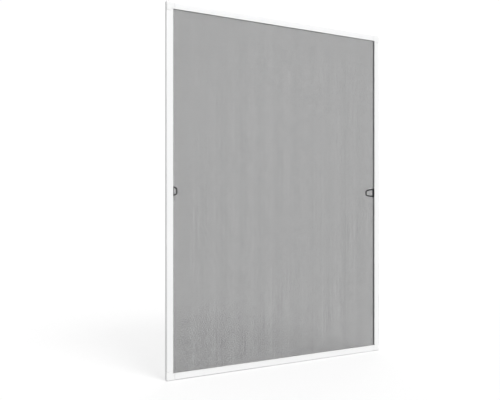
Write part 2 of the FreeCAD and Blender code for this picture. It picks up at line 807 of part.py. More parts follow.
def draw_loop(sketch, root, half_height, tip_radius):
    """A closed D: a straight root, two sides that draw together, and a tip with two rounded corners."""
    start_x = value_of(root)
    half = value_of(half_height)
    radius = value_of(tip_radius)
    middle_x = "handle_reach - handle_tip_radius"
    upper_middle = FreeCAD.Vector(value_of(middle_x), value_of("handle_tip_spread"), 0)
    lower_middle = FreeCAD.Vector(upper_middle.x, -upper_middle.y, 0)
    reach = upper_middle.x - start_x
    rise = half - upper_middle.y
    slope = math.atan2(rise, reach) - math.asin(radius / math.hypot(rise, reach))
    touch = upper_middle + FreeCAD.Vector(math.sin(slope), math.cos(slope), 0) * radius
    front = upper_middle.x + radius
    root_side = sketch.addGeometry(Part.LineSegment(
        FreeCAD.Vector(start_x, half, 0), FreeCAD.Vector(start_x, -half, 0)))
    lower_side = sketch.addGeometry(Part.LineSegment(
        FreeCAD.Vector(start_x, -half, 0), FreeCAD.Vector(touch.x, -touch.y, 0)))
    up = FreeCAD.Vector(0, 0, 1)
    sweep = math.pi / 2 - slope
    lower_corner = sketch.addGeometry(Part.ArcOfCircle(Part.Circle(lower_middle, up, radius), -sweep, 0))
    tip_side = sketch.addGeometry(Part.LineSegment(
        FreeCAD.Vector(front, lower_middle.y, 0), FreeCAD.Vector(front, upper_middle.y, 0)))
    upper_corner = sketch.addGeometry(Part.ArcOfCircle(Part.Circle(upper_middle, up, radius), 0, sweep))
    upper_side = sketch.addGeometry(Part.LineSegment(touch, FreeCAD.Vector(start_x, half, 0)))
    sketch.addConstraint(Sketcher.Constraint("Coincident", root_side, 2, lower_side, 1))
    sketch.addConstraint(Sketcher.Constraint("Tangent", lower_side, 2, lower_corner, 1))
    sketch.addConstraint(Sketcher.Constraint("Tangent", lower_corner, 2, tip_side, 1))
    sketch.addConstraint(Sketcher.Constraint("Tangent", tip_side, 2, upper_corner, 1))
    sketch.addConstraint(Sketcher.Constraint("Tangent", upper_corner, 2, upper_side, 1))
    sketch.addConstraint(Sketcher.Constraint("Coincident", upper_side, 2, root_side, 1))
    constrain_point(sketch, root_side, 1, root, half_height)
    constrain_point(sketch, root_side, 2, root, f"0 - ({half_height})")
    constrain_point(sketch, lower_corner, 3, middle_x, "0 - handle_tip_spread")
    constrain_point(sketch, upper_corner, 3, middle_x, "handle_tip_spread")
    size = Sketcher.Constraint("Radius", upper_corner, radius)
    bind(sketch, f"Constraints[{sketch.addConstraint(size)}]", tip_radius)


def drill_handle_base(body, name):
    """Countersunk holes through the base for its two screws."""
    for number, along in ((1, -0.5), (2, 0.5)):
        half = new_sketch(body, f"{name}_hole_{number}", "XY_Plane", f"{along} * handle_screw_spacing")
        middle = back("frame_depth - handle_screw_from_rear")
        shank = "screw_diameter / 2 + screw_clearance"
        head = "countersunk_head_diameter / 2 + countersink_clearance"
        top = "handle_base_thickness"
        draw_polygon(half, [
            ("0 - wall", middle), (f"{top} + wall", middle), (f"{top} + wall", f"{middle} + {head}"),
            (top, f"{middle} + {head}"), (f"{top} - countersunk_head_height", f"{middle} + {shank}"),
            ("0 - wall", f"{middle} + {shank}"),
        ])
        doc.recompute()
        before = body.Shape.Volume
        groove = body.newObject("PartDesign::Groove", f"{name}_hole_{number}_cut")
        groove.Profile = half
        groove.ReferenceAxis = (half, ["Edge1"])
        groove.Angle = 360
        doc.recompute()
        if body.Shape.Volume >= before:
            raise RuntimeError(f"{groove.Name} cuts nothing")


def make_handles():
    """One handle on each stile's inner face, the right one turned half round."""
    left = make_handle("pull_handle_left")
    place(left, x="face_width - frame_width / 2", z="handle_middle")
    right = make_handle("pull_handle_right")
    place(right, x="frame_width / 2 - face_width", z="handle_middle", turn_about_y=180)
    return [left, right]


def make_handle_screws():
    """Two screws for each handle, as one group."""
    screws = []
    for side, sign, turn in (("left", -1, 0), ("right", 1, 180)):
        for number, along in ((1, -0.5), (2, 0.5)):
            screw = make_countersunk_screw(f"handle_screw_{side}_{number}")
            place(screw,
                  x=f"{sign} * (frame_width / 2 - face_width - handle_base_thickness)",
                  y=back("frame_depth - handle_screw_from_rear"),
                  z=f"handle_middle + {along} * handle_screw_spacing", turn_about_y=turn)
            screws.append(screw)
    return gather("handle_screws", screws)


def check_document(nodes):
    """Stops on a failed object or on a sub-part without a valid shape."""
    for thing in doc.Objects:
        if "Invalid" in thing.State or "Error" in thing.State:
            raise RuntimeError(f"{thing.Name} failed: {thing.State}")
    for node in nodes:
        if node.Shape.isNull() or not node.Shape.isValid():
            raise RuntimeError(f"{node.Label} has no valid shape")


def main():
    """Builds every sub-part and writes one file for each."""
    fill_sheet()
    nodes = make_frame_profiles()
    nodes += make_corners()
    nodes.append(make_insect_mesh())
    nodes += make_splines()
    nodes += make_brush_seals()
    nodes += make_hooks()
    nodes.append(make_hook_screws())
    nodes += make_handles()
    nodes.append(make_handle_screws())
    doc.recompute()
    check_document(nodes)
    os.makedirs("parts", exist_ok=True)
    for node in nodes:
        node.Shape.exportStep(f"parts/{node.Label}.step")
        print(node.Label, len(node.Shape.Solids), round(node.Shape.Volume, 1))


main()
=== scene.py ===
"""Looks of the window insect screen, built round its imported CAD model.

Lengths are in metres and follow the CAD: X along the width, Y from the outdoor face to the window,
Z up, and the origin is the middle of the bottom rail's underside.
"""
import math

import bpy
import numpy as np
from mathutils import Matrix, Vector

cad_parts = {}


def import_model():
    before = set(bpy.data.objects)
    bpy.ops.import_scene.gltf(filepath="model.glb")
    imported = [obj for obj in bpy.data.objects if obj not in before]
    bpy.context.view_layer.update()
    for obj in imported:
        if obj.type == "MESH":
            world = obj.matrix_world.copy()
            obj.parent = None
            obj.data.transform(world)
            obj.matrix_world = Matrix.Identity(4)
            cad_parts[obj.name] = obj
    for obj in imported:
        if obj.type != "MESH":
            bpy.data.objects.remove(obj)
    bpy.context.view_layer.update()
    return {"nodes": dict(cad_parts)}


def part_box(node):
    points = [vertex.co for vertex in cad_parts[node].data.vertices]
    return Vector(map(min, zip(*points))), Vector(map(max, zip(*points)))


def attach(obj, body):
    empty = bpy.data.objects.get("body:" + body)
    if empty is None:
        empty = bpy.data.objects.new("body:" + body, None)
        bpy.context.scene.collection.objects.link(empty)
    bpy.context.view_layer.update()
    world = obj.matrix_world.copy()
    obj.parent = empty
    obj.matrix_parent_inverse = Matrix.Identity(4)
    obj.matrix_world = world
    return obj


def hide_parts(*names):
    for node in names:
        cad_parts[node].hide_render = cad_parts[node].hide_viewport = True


MM = 0.001
FULL_TURN = 2 * math.pi
SIDES = ("top", "bottom", "left", "right")
CORNERS = ("top_left", "top_right", "bottom_left", "bottom_right")

# Frame sizes, as in the part's source
FRAME_WIDTH = 1000 * MM
FRAME_HEIGHT = 1400 * MM
FRAME_DEPTH = 11 * MM
FACE_WIDTH = 27 * MM

# A corner block's arms reach this far past the face's width, and the painted shade on its legs starts a
# hair beyond
CORNER_ARM = 6 * MM
HAIR = 0.05 * MM
LEG_START = FACE_WIDTH + CORNER_ARM + HAIR

# Softened edges of the CAD nodes: their widths, the steps across one, and the angles in degrees
PROFILE_EDGE = 0.22 * MM
BLOCK_EDGE = 0.3 * MM
SPLINE_EDGE = 0.15 * MM
HOOK_EDGE = 0.18 * MM
HANDLE_EDGE = 0.35 * MM
EDGE_STEPS = 3
SHARP_ANGLE = 28
FLAT_ANGLE = 0.5
WELD_DISTANCE = 0.002 * MM

# Insect mesh: its plane, its size between the bends at its edges, and what is tucked in past them
MESH_BEHIND_FRONT = 0.65 * MM
MESH_PLANE = MESH_BEHIND_FRONT - FRAME_DEPTH / 2
MESH_PAST_OPENING = 1.4 * MM
MESH_WIDTH = FRAME_WIDTH - 2 * (FACE_WIDTH - MESH_PAST_OPENING)
MESH_HEIGHT = FRAME_HEIGHT - 2 * (FACE_WIDTH - MESH_PAST_OPENING)
MESH_TUCK = 3.2 * MM
THREAD_PITCH = 1.3 * MM
UPRIGHT_THREAD_WIDTH = 0.39 * MM
LEVEL_THREAD_WIDTH = 0.64 * MM
THREAD_THICKNESS = 0.15 * MM
THREAD_OFFSET = 0.06 * MM
THREAD_SIDES = 6

# Unevenness of the threads' widths, as a share of the width and as the lengths of its waves
UPRIGHT_WIDTH_SPREAD = 0.36
LEVEL_WIDTH_SPREAD = 0.03
WAVE_LENGTHS = (8.3 * MM, 9.7 * MM, 11.3 * MM, 13.9 * MM, 21 * MM, 83 * MM)

# Brush seals; a tuft wanders by up to a share of the pitch, and the shortest is a share of the tallest
BRUSH_BACKING = 1.0 * MM
PILE_THICKNESS = 2.2 * MM
TUFT_PITCH = 0.6 * MM
TUFT_ROWS = 4
TUFT_SIDES = 3
TUFT_ROOT_RADIUS = 0.3 * MM
TUFT_TIP_RADIUS = 0.16 * MM
TUFT_LEAN = 0.25 * MM
TUFT_WANDER = 0.25
SHORTEST_TUFT = 0.9

# Screws; a head's outline is radius and height, from the rim of its face down to the shank
SCREW_DIAMETER = 2.9 * MM
SHANK_RADIUS = SCREW_DIAMETER / 2
CORE_RADIUS = 1.23 * MM
TIP_RADIUS = SHANK_RADIUS / 2
RIDGE_PITCH = 1.1 * MM
SCREW_SIDES = 40
FACE_RINGS = 14
PAN_HEAD = [(2.1 * MM, 1.45 * MM), (2.5 * MM, 1.15 * MM), (2.72 * MM, 0.8 * MM), (2.8 * MM, 0.4 * MM),
            (2.8 * MM, 0), (SHANK_RADIUS, 0)]
PAN_HEAD_HEIGHT = 1.8 * MM
COUNTERSUNK_HEAD = [(2.62 * MM, -0.02 * MM), (2.7 * MM, -0.08 * MM), (SHANK_RADIUS, -1.5 * MM)]

# One ridge of a screw's thread, as shares of its pitch and the radius there
RIDGE_OUTLINE = ((0.2, CORE_RADIUS), (0.5, SHANK_RADIUS), (0.8, CORE_RADIUS))

# Places of the screws in the hooks
HOOK_FROM_CORNER = 90 * MM
HOOK_PLATE = 1.2 * MM
HOOK_SCREW_FROM_EDGE = 17.7 * MM
HOOK_SCREW_LENGTH = 6 * MM
HOOK_SCREW_X = FRAME_WIDTH / 2 - HOOK_FROM_CORNER
HOOK_SCREW_SEAT = FRAME_DEPTH / 2 + HOOK_PLATE

# Places of the screws in the handles
HANDLE_MIDDLE = 700 * MM
HANDLE_BASE_THICKNESS = 3 * MM
HANDLE_SCREW_FROM_REAR = 3.3 * MM
HANDLE_SCREW_SPACING = 15 * MM
HANDLE_SCREW_LENGTH = 7.5 * MM
HANDLE_SCREW_SEAT = FRAME_WIDTH / 2 - FACE_WIDTH - HANDLE_BASE_THICKNESS
HANDLE_SCREW_Y = FRAME_DEPTH / 2 - HANDLE_SCREW_FROM_REAR

# Cross recess in the screw heads: its size, an arm's end width as a share, and its walls' steepness
RECESS_DEPTH = 1.1 * MM
RECESS_HALF_WIDTH = 0.42 * MM
RECESS_HALF_LENGTH = 1.7 * MM
RECESS_END_WIDTH = 0.55
RECESS_END_STEEPNESS = 1.6
RECESS_SIDE_STEEPNESS = 4

# Camera, fitted to the photograph: metres, degrees about Z, and millimetres for lens and sensor
CAMERA_PLACE = (-1.2702, -2.0999, 0.6570)
CAMERA_TURN = -28.102
CAMERA_LENS = 43.382
CAMERA_SENSOR = 36
CAMERA_SHIFT_UP = 0.00533

# Light: strengths, heights in degrees, and degrees round to the right from straight in front
SUN_STRENGTH = 3.05
SUN_HEIGHT = 45
SUN_TO_THE_RIGHT = 12
FILL_STRENGTH = 0.8
FILL_HEIGHT = 50
FILL_TO_THE_RIGHT = 140
SUN_SOFTNESS = 28
SKY_LIGHT = 0.44

# Floor: its grey for the light that it throws back and for the eye, and where its shadow fades out
FLOOR_HALF_WIDTH = 9
FLOOR_GREY = 0.3
SEEN_FLOOR_GREY = 0.26
SEEN_WHITE = 1.02
SHADOW_FADE_START = 0.4
SHADOW_FADE_END = 2.6

# Values of noise that count as low and as high
NOISE_LOW = 0.3
NOISE_HIGH = 0.7

# Grain of the zinc on the hooks and on their screws, in waves to the metre
PLATE_GRAIN = 420
SCREW_GRAIN = 900

RANDOM = np.random.RandomState(11)


# Node helpers

def cleared_nodes(owner):
    """The empty node tree of a material or world."""
    owner.use_nodes = True
    owner.node_tree.nodes.clear()
    return owner.node_tree


def new_material(name):
    """A material with its node tree and its shader."""
    material = bpy.data.materials.new(name)
    tree = cleared_nodes(material)
    output = tree.nodes.new("ShaderNodeOutputMaterial")
    shader = tree.nodes.new("ShaderNodeBsdfPrincipled")
    tree.links.new(shader.outputs["BSDF"], output.inputs["Surface"])
    return material, tree, shader


def noise(tree, scale, detail, stretch=(1, 1, 1)):
    """Noise in the frame's own coordinates, scale being waves to the metre."""
    place = tree.nodes.new("ShaderNodeTexCoord")
    mapping = tree.nodes.new("ShaderNodeMapping")
    mapping.inputs["Scale"].default_value = stretch
    texture = tree.nodes.new("ShaderNodeTexNoise")
    texture.inputs["Scale"].default_value = scale
    texture.inputs["Detail"].default_value = detail
    tree.links.new(place.outputs["Object"], mapping.inputs["Vector"])
    tree.links.new(mapping.outputs["Vector"], texture.inputs["Vector"])
    return texture.outputs["Fac"]


def ramp(tree, value, low, high, start=NOISE_LOW, end=NOISE_HIGH):
    """Colours between low and high as a value goes from start to end."""
    node = tree.nodes.new("ShaderNodeValToRGB")
    node.color_ramp.elements[0].position = start
    node.color_ramp.elements[0].color = (*low, 1)
    node.color_ramp.elements[1].position = end
    node.color_ramp.elements[1].color = (*high, 1)
    tree.links.new(value, node.inputs["Fac"])
    return node.outputs["Color"]


def spread(tree, value, low, high):
    """A number between low and high as noise goes from low to high."""
    node = tree.nodes.new("ShaderNodeMapRange")
    node.inputs["From Min"].default_value = NOISE_LOW
    node.inputs["From Max"].default_value = NOISE_HIGH
    node.inputs["To Min"].default_value = low
    node.inputs["To Max"].default_value = high
    tree.links.new(value, node.inputs["Value"])
    return node.outputs["Result"]


def bump(tree, shader, height, depth):
    """Relief of that depth in metres on the shader."""
    node = tree.nodes.new("ShaderNodeBump")
    node.inputs["Distance"].default_value = depth
    tree.links.new(height, node.inputs["Height"])
    tree.links.new(node.outputs["Normal"], shader.inputs["Normal"])


def add_values(tree, first, second, share):
    """The first value plus a share of the second."""
    node = tree.nodes.new("ShaderNodeMath")
    node.operation = "MULTIPLY_ADD"
    node.inputs[1].default_value = share
    tree.links.new(second, node.inputs[0])
    tree.links.new(first, node.inputs[2])
    return node.outputs["Value"]


def larger(tree, first, second):
    """The larger of two values."""
    node = tree.nodes.new("ShaderNodeMath")
    node.operation = "MAXIMUM"
    tree.links.new(first, node.inputs[0])
    tree.links.new(second, node.inputs[1])
    return node.outputs["Value"]


def nearer_than(tree, coordinate, middle, distance):
    """1 where a coordinate lies nearer to the middle than that distance, and 0 elsewhere."""
    away = tree.nodes.new("ShaderNodeMath")
    away.operation = "SUBTRACT"
    away.inputs[1].default_value = middle
    tree.links.new(coordinate, away.inputs[0])
    size = tree.nodes.new("ShaderNodeMath")
    size.operation = "ABSOLUTE"
    tree.links.new(away.outputs["Value"], size.inputs[0])
    near = tree.nodes.new("ShaderNodeMath")
    near.operation = "LESS_THAN"
    near.inputs[1].default_value = distance
    tree.links.new(size.outputs["Value"], near.inputs[0])
    return near.outputs["Value"]


def matt(tree, grey):
    """A plain grey surface."""
    node = tree.nodes.new("ShaderNodeBsdfDiffuse")
    node.inputs["Color"].default_value = (grey, grey, grey, 1)
    return node.outputs[0]


def white_glow(tree, kind, strength):
    """Even white from a surface or from the world, as the kind of node says."""
    node = tree.nodes.new(kind)
    node.inputs["Color"].default_value = (1, 1, 1, 1)
    node.inputs["Strength"].default_value = strength
    return node.outputs[0]


def either(tree, share, first, second):
    """The first shader where share is 0, and the second where it is 1."""
    node = tree.nodes.new("ShaderNodeMixShader")
    tree.links.new(share, node.inputs["Fac"])
    tree.links.new(first, node.inputs[1])
    tree.links.new(second, node.inputs[2])
    return node.outputs[0]


# Materials

def powder_coat():
    """Satin white powder coat with a fine orange-peel skin."""
    material, tree, shader = new_material("white_powder_coat_finish")
    broad = noise(tree, 9, 2)
    fine = noise(tree, 620, 2)
    grit = noise(tree, 2600, 2)
    tree.links.new(ramp(tree, broad, (0.845, 0.85, 0.852), (0.865, 0.867, 0.866)),
                   shader.inputs["Base Color"])
    tree.links.new(spread(tree, fine, 0.36, 0.46), shader.inputs["Roughness"])
    shader.inputs["Specular IOR Level"].default_value = 0.4
    bump(tree, shader, add_values(tree, fine, grit, 0.35), 0.03 * MM)
    return material


def painted_gap_shade_mask(tree):
    """1 on a corner block's legs, which get painted shade for the joint gaps, and 0 on the block that
    shows.
    """
    place = tree.nodes.new("ShaderNodeTexCoord")
    parts = tree.nodes.new("ShaderNodeSeparateXYZ")
    tree.links.new(place.outputs["Object"], parts.inputs["Vector"])
    half_width = FRAME_WIDTH / 2
    half_height = FRAME_HEIGHT / 2
    along_rail = nearer_than(tree, parts.outputs["X"], 0, half_width - LEG_START)
    along_stile = nearer_than(tree, parts.outputs["Z"], half_height, half_height - LEG_START)
    return larger(tree, along_rail, along_stile)


def corner_plastic_with_painted_gap_shade():
    """White moulded plastic with a fine eroded grain, and near-black painted shade on the legs that go
    into the profiles, standing for the shade in the joint gaps.
    """
    material, tree, shader = new_material("white_corner_plastic_with_painted_gap_shade")
    broad = noise(tree, 24, 2)
    grain = noise(tree, 1900, 4)
    skin = ramp(tree, broad, (0.835, 0.84, 0.84), (0.857, 0.86, 0.858))
    # Painted shade: the legs are near-black so the joint gaps between block and profiles read as shaded;
    # the legs are really the block's white plastic
    painted_gap_shade = ramp(tree, broad, (0.03, 0.031, 0.032), (0.05, 0.051, 0.052))
    colour = tree.nodes.new("ShaderNodeMix")
    colour.data_type = "RGBA"
    tree.links.new(painted_gap_shade_mask(tree), colour.inputs["Factor"])
    tree.links.new(skin, colour.inputs["A"])
    tree.links.new(painted_gap_shade, colour.inputs["B"])
    tree.links.new(colour.outputs["Result"], shader.inputs["Base Color"])
    tree.links.new(spread(tree, grain, 0.46, 0.58), shader.inputs["Roughness"])
    shader.inputs["Specular IOR Level"].default_value = 0.4
    bump(tree, shader, grain, 0.04 * MM)
    return material


def thread_yarn():
    """Anthracite coated yarn, a little uneven in tone and gloss."""
    material, tree, shader = new_material("anthracite_mesh_finish")
    tone = noise(tree, 60, 3)
    fine = noise(tree, 2400, 2)
    tree.links.new(ramp(tree, tone, (0.016, 0.017, 0.019), (0.026, 0.027, 0.029)),
                   shader.inputs["Base Color"])
    tree.links.new(spread(tree, fine, 0.5, 0.7), shader.inputs["Roughness"])
    shader.inputs["Specular IOR Level"].default_value = 0.3
    bump(tree, shader, fine, 0.04 * MM)
    return material


def spline_rubber():
    """Soft white strip, duller than the coat and with faint ripples from extruding."""
    material, tree, shader = new_material("white_spline_finish")
    broad = noise(tree, 40, 2)
    ripples = noise(tree, 500, 2)
    tree.links.new(ramp(tree, broad, (0.825, 0.83, 0.828), (0.85, 0.853, 0.85)),
                   shader.inputs["Base Color"])
    tree.links.new(spread(tree, ripples, 0.5, 0.62), shader.inputs["Roughness"])
    bump(tree, shader, ripples, 0.06 * MM)
    return material


def brush_pile():
    """Grey polypropylene pile, mottled from tuft to tuft."""
    material, tree, shader = new_material("grey_pile_finish")
    tufts = noise(tree, 900, 3)
    tree.links.new(ramp(tree, tufts, (0.2, 0.205, 0.215), (0.36, 0.365, 0.375)),
                   shader.inputs["Base Color"])
    tree.links.new(spread(tree, tufts, 0.75, 0.9), shader.inputs["Roughness"])
    shader.inputs["Sheen Weight"].default_value = 0.35
    shader.inputs["Sheen Roughness"].default_value = 0.5
    bump(tree, shader, tufts, 0.05 * MM)
    return material


def zinc(name, grain_scale):
    """Bright zinc plating with a faint spangle and fine rolling marks."""
    material, tree, shader = new_material(name)
    spangle = noise(tree, 160, 3)
    grain = noise(tree, grain_scale, 3, (1, 1, 8))
    tree.links.new(ramp(tree, spangle, (0.4, 0.408, 0.412), (0.52, 0.525, 0.52)),
                   shader.inputs["Base Color"])
    tree.links.new(spread(tree, grain, 0.24, 0.4), shader.inputs["Roughness"])
    shader.inputs["Metallic"].default_value = 1
    bump(tree, shader, grain, 0.02 * MM)
    return material


def black_plastic():
    """Black nylon with a fine moulded grain."""
    material, tree, shader = new_material("black_plastic_finish")
    broad = noise(tree, 90, 2)
    grain = noise(tree, 2200, 4)
    tree.links.new(ramp(tree, broad, (0.012, 0.012, 0.013), (0.02, 0.02, 0.021)),
                   shader.inputs["Base Color"])
    tree.links.new(spread(tree, grain, 0.36, 0.5), shader.inputs["Roughness"])
    bump(tree, shader, grain, 0.05 * MM)
    return material


def black_steel():
    """Black-finished screw steel, rubbed a little lighter in places."""
    material, tree, shader = new_material("black_screw_finish")
    rub = noise(tree, 1300, 3)
    tree.links.new(ramp(tree, rub, (0.02, 0.02, 0.021), (0.07, 0.07, 0.072), 0.4, 0.75),
                   shader.inputs["Base Color"])
    tree.links.new(spread(tree, rub, 0.3, 0.45), shader.inputs["Roughness"])
    shader.inputs["Metallic"].default_value = 1
    bump(tree, shader, rub, 0.02 * MM)
    return material


# Mesh helpers

def new_piece(name, vertices, faces, material, node, smooth=True):
    """A mesh piece that rides on the frame and stands for one CAD node."""
    mesh = bpy.data.meshes.new(name)
    mesh.from_pydata(vertices, [], faces)
    mesh.materials.append(material)
    if smooth:
        mesh.polygons.foreach_set("use_smooth", [True] * len(mesh.polygons))
    mesh.update()
    piece = bpy.data.objects.new(name, mesh)
    bpy.context.scene.collection.objects.link(piece)
    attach(piece, "root")
    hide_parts(node)
    return piece


def tube_faces(first, rings, sides):
    """The faces of a closed tube whose rings of vertices start at first."""
    faces = [tuple(first + side for side in reversed(range(sides)))]
    for ring in range(rings - 1):
        low = first + ring * sides
        for side in range(sides):
            following = (side + 1) % sides
            faces.append((low + side, low + following, low + sides + following, low + sides + side))
    last = first + (rings - 1) * sides
    faces.append(tuple(last + side for side in range(sides)))
    return faces


def box_corners(low, high):
    """The eight corners of a box, in the order that box_faces expects."""
    return [(x, y, z) for x in (low[0], high[0]) for y in (low[1], high[1]) for z in (low[2], high[2])]


def box_faces(first):
    """The six faces of a box whose corners start at first."""
    sides = [(0, 1, 3, 2), (4, 6, 7, 5), (0, 4, 5, 1), (2, 3, 7, 6), (0, 2, 6, 4), (1, 5, 7, 3)]
    return [tuple(first + corner for corner in side) for side in sides]


# Insect mesh

def slow_waves(positions):
    """A smooth unevenness between -1 and 1 along a row of threads."""
    total = np.zeros(len(positions))
    for length in WAVE_LENGTHS:
        total += np.sin(positions * FULL_TURN / length + RANDOM.uniform(0, FULL_TURN))
    return total / len(WAVE_LENGTHS)


def lay_threads(vertices, faces, upright, width, width_spread, offset):
    """Threads one way of the weave, each bent back into the groove at both ends."""
    span = MESH_WIDTH if upright else MESH_HEIGHT
    half_length = (MESH_HEIGHT if upright else MESH_WIDTH) / 2
    count = int(span / THREAD_PITCH)
    places = (np.arange(count) - (count - 1) / 2) * THREAD_PITCH
    plane = MESH_PLANE + offset
    thick = THREAD_THICKNESS / 2
    # A ring's depth and place along the thread, then how far its thickness reaches in each
    rings = [
        (plane + MESH_TUCK, -half_length, 0, -thick),
        (plane, -half_length, -thick, -thick),
        (plane, half_length, -thick, thick),
        (plane + MESH_TUCK, half_length, 0, thick),
    ]
    # The way round a thread that makes its faces look outward
    way_round = -1 if upright else 1
    angles = [way_round * FULL_TURN * side / THREAD_SIDES for side in range(THREAD_SIDES)]
    widths = width * (1 + width_spread * slow_waves(places))
    for place, thread_width in zip(places, widths):
        first = len(vertices)
        for ring_depth, ring_along, thick_in_depth, thick_along in rings:
            for angle in angles:
                across = place + thread_width / 2 * math.cos(angle)
                depth = ring_depth + thick_in_depth * math.sin(angle)
                along = ring_along + thick_along * math.sin(angle)
                if upright:
                    vertices.append((across, depth, along + FRAME_HEIGHT / 2))
                else:
                    vertices.append((along, depth, across + FRAME_HEIGHT / 2))
        faces.extend(tube_faces(first, len(rings), THREAD_SIDES))


def make_insect_mesh(material):
    """The woven mesh, thread by thread."""
    vertices = []
    faces = []
    lay_threads(vertices, faces, True, UPRIGHT_THREAD_WIDTH, UPRIGHT_WIDTH_SPREAD, -THREAD_OFFSET)
    lay_threads(vertices, faces, False, LEVEL_THREAD_WIDTH, LEVEL_WIDTH_SPREAD, THREAD_OFFSET)
    piece = new_piece("insect_mesh_threads", vertices, faces, material, "insect_mesh")


# Brush seals

def make_brush(side, material):
    """A brush seal: a flat backing with rows of leaning tufts."""
    node = f"brush_seal_{side}"
    low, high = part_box(node)
    # The axes along the seal and across it
    long = 0 if side in ("top", "bottom") else 2
    wide = 2 - long
    backing_rear = low[1] + BRUSH_BACKING
    vertices = box_corners(low, (high[0], backing_rear, high[2]))
    faces = box_faces(0)
    middle = (low[wide] + high[wide]) / 2
    count = int((high[long] - low[long] - 2 * TUFT_ROOT_RADIUS) / TUFT_PITCH)
    row_pitch = (PILE_THICKNESS - 2 * TUFT_ROOT_RADIUS) / (TUFT_ROWS - 1)
    reach = high[1] - backing_rear
    root = backing_rear - BRUSH_BACKING / 2
    # The way round a tuft that makes its faces look outward
    way_round = -1 if long == 0 else 1
    for row in range(TUFT_ROWS):
        across = middle + (row - (TUFT_ROWS - 1) / 2) * row_pitch
        for number in range(count):
            steps = number + 0.5 + RANDOM.uniform(-TUFT_WANDER, TUFT_WANDER)
            along = low[long] + TUFT_ROOT_RADIUS + steps * TUFT_PITCH
            tip = backing_rear + reach * RANDOM.uniform(SHORTEST_TUFT, 1)
            lean_along, lean_across = RANDOM.uniform(-1, 1, 2)
            tip_along = along + lean_along * TUFT_LEAN
            tip_across = across + lean_across * (TUFT_ROOT_RADIUS - TUFT_TIP_RADIUS)
            turn = RANDOM.uniform(0, FULL_TURN)
            ends = ((along, across, root, TUFT_ROOT_RADIUS),
                    (tip_along, tip_across, tip, TUFT_TIP_RADIUS))
            first = len(vertices)
            for centre_along, centre_across, height, radius in ends:
                for corner in range(TUFT_SIDES):
                    angle = way_round * (turn + FULL_TURN * corner / TUFT_SIDES)
                    point = [0, height, 0]
                    point[long] = centre_along + radius * math.cos(angle)
                    point[wide] = centre_across + radius * math.sin(angle)
                    vertices.append(tuple(point))
            faces.extend(tube_faces(first, len(ends), TUFT_SIDES))
    new_piece(f"{node}_tufts", vertices, faces, material, node, smooth=False)


# Screws

def cross_recess(x, y):
    """How deep the cross recess is at a point of the head, from 0 outside it to 1 at its middle."""
    deepest = 0
    for along, across in ((x, y), (y, x)):
        length_left = 1 - abs(along) / RECESS_HALF_LENGTH
        taper = RECESS_END_WIDTH + (1 - RECESS_END_WIDTH) * max(length_left, 0)
        width_left = 1 - abs(across) / (RECESS_HALF_WIDTH * taper)
        if length_left > 0 and width_left > 0:
            end_wall = min(1, length_left * RECESS_END_STEEPNESS)
            side_wall = min(1, width_left * RECESS_SIDE_STEEPNESS)
            deepest = max(deepest, end_wall * side_wall)
    return deepest


def screw_ring(radius, height):
    """Points round the screw's axis."""
    angles = [FULL_TURN * side / SCREW_SIDES for side in range(SCREW_SIDES)]
    return [(radius * math.cos(angle), radius * math.sin(angle), height) for angle in angles]


def screw_form(head, head_height, length):
    """Vertices and faces of one screw along +Z, its seat at 0: recessed head, then a ribbed shank."""
    face_radius, face_height = head[0]
    vertices = []
    for ring in range(1, FACE_RINGS + 1):
        out = ring / FACE_RINGS
        dome = (head_height - face_height) * (1 - out ** 2)
        for x, y, height in screw_ring(face_radius * out, face_height):
            vertices.append((x, y, height + dome - RECESS_DEPTH * cross_recess(x, y)))
    outline = list(head[1:])
    depth = 0
    while depth < length - RIDGE_PITCH:
        for share, radius in RIDGE_OUTLINE:
            outline.append((radius, -depth - share * RIDGE_PITCH))
        depth += RIDGE_PITCH
    outline.append((TIP_RADIUS, -length))
    for radius, height in outline:
        vertices.extend(screw_ring(radius, height))
    last = len(vertices) - SCREW_SIDES
    faces = []
    for low in range(0, last, SCREW_SIDES):
        for side in range(SCREW_SIDES):
            following = (side + 1) % SCREW_SIDES
            high = low + SCREW_SIDES
            faces.append((low + side, high + side, high + following, low + following))
    centre = len(vertices)
    vertices.append((0, 0, head_height - RECESS_DEPTH))
    for side in range(SCREW_SIDES):
        faces.append((side, (side + 1) % SCREW_SIDES, centre))
    faces.append(tuple(last + side for side in reversed(range(SCREW_SIDES))))
    return vertices, faces


def place_screws(name, form, places, material, node):
    """Copies of one screw: each place is a point and the direction that the head faces."""
    vertices = []
    faces = []
    for point, facing in places:
        first = len(vertices)
        for x, y, z in form[0]:
            if facing == "+Y":
                turned = (x, z, -y)
            elif facing == "+X":
                turned = (z, x, y)
            else:
                turned = (-z, -x, y)
            vertices.append(tuple(place + part for place, part in zip(point, turned)))
        faces.extend(tuple(first + corner for corner in face) for face in form[1])
    new_piece(name, vertices, faces, material, node)


def make_screws(zinc_material, black_material):
    """Pan-head screws in the hooks and countersunk ones in the handles."""
    pan = screw_form(PAN_HEAD, PAN_HEAD_HEIGHT, HOOK_SCREW_LENGTH)
    places = []
    for z in (HOOK_SCREW_FROM_EDGE, FRAME_HEIGHT - HOOK_SCREW_FROM_EDGE):
        for x in (-HOOK_SCREW_X, HOOK_SCREW_X):
            places.append(((x, HOOK_SCREW_SEAT, z), "+Y"))
    place_screws("hook_screws_crosshead", pan, places, zinc_material, "hook_screws")
    countersunk = screw_form(COUNTERSUNK_HEAD, 0, HANDLE_SCREW_LENGTH)
    places = []
    for z in (HANDLE_MIDDLE - HANDLE_SCREW_SPACING / 2, HANDLE_MIDDLE + HANDLE_SCREW_SPACING / 2):
        places.append(((-HANDLE_SCREW_SEAT, HANDLE_SCREW_Y, z), "+X"))
        places.append(((HANDLE_SCREW_SEAT, HANDLE_SCREW_Y, z), "-X"))
    place_screws("handle_screws_crosshead", countersunk, places, black_material,
                 "handle_screws")


# Finish of the CAD nodes

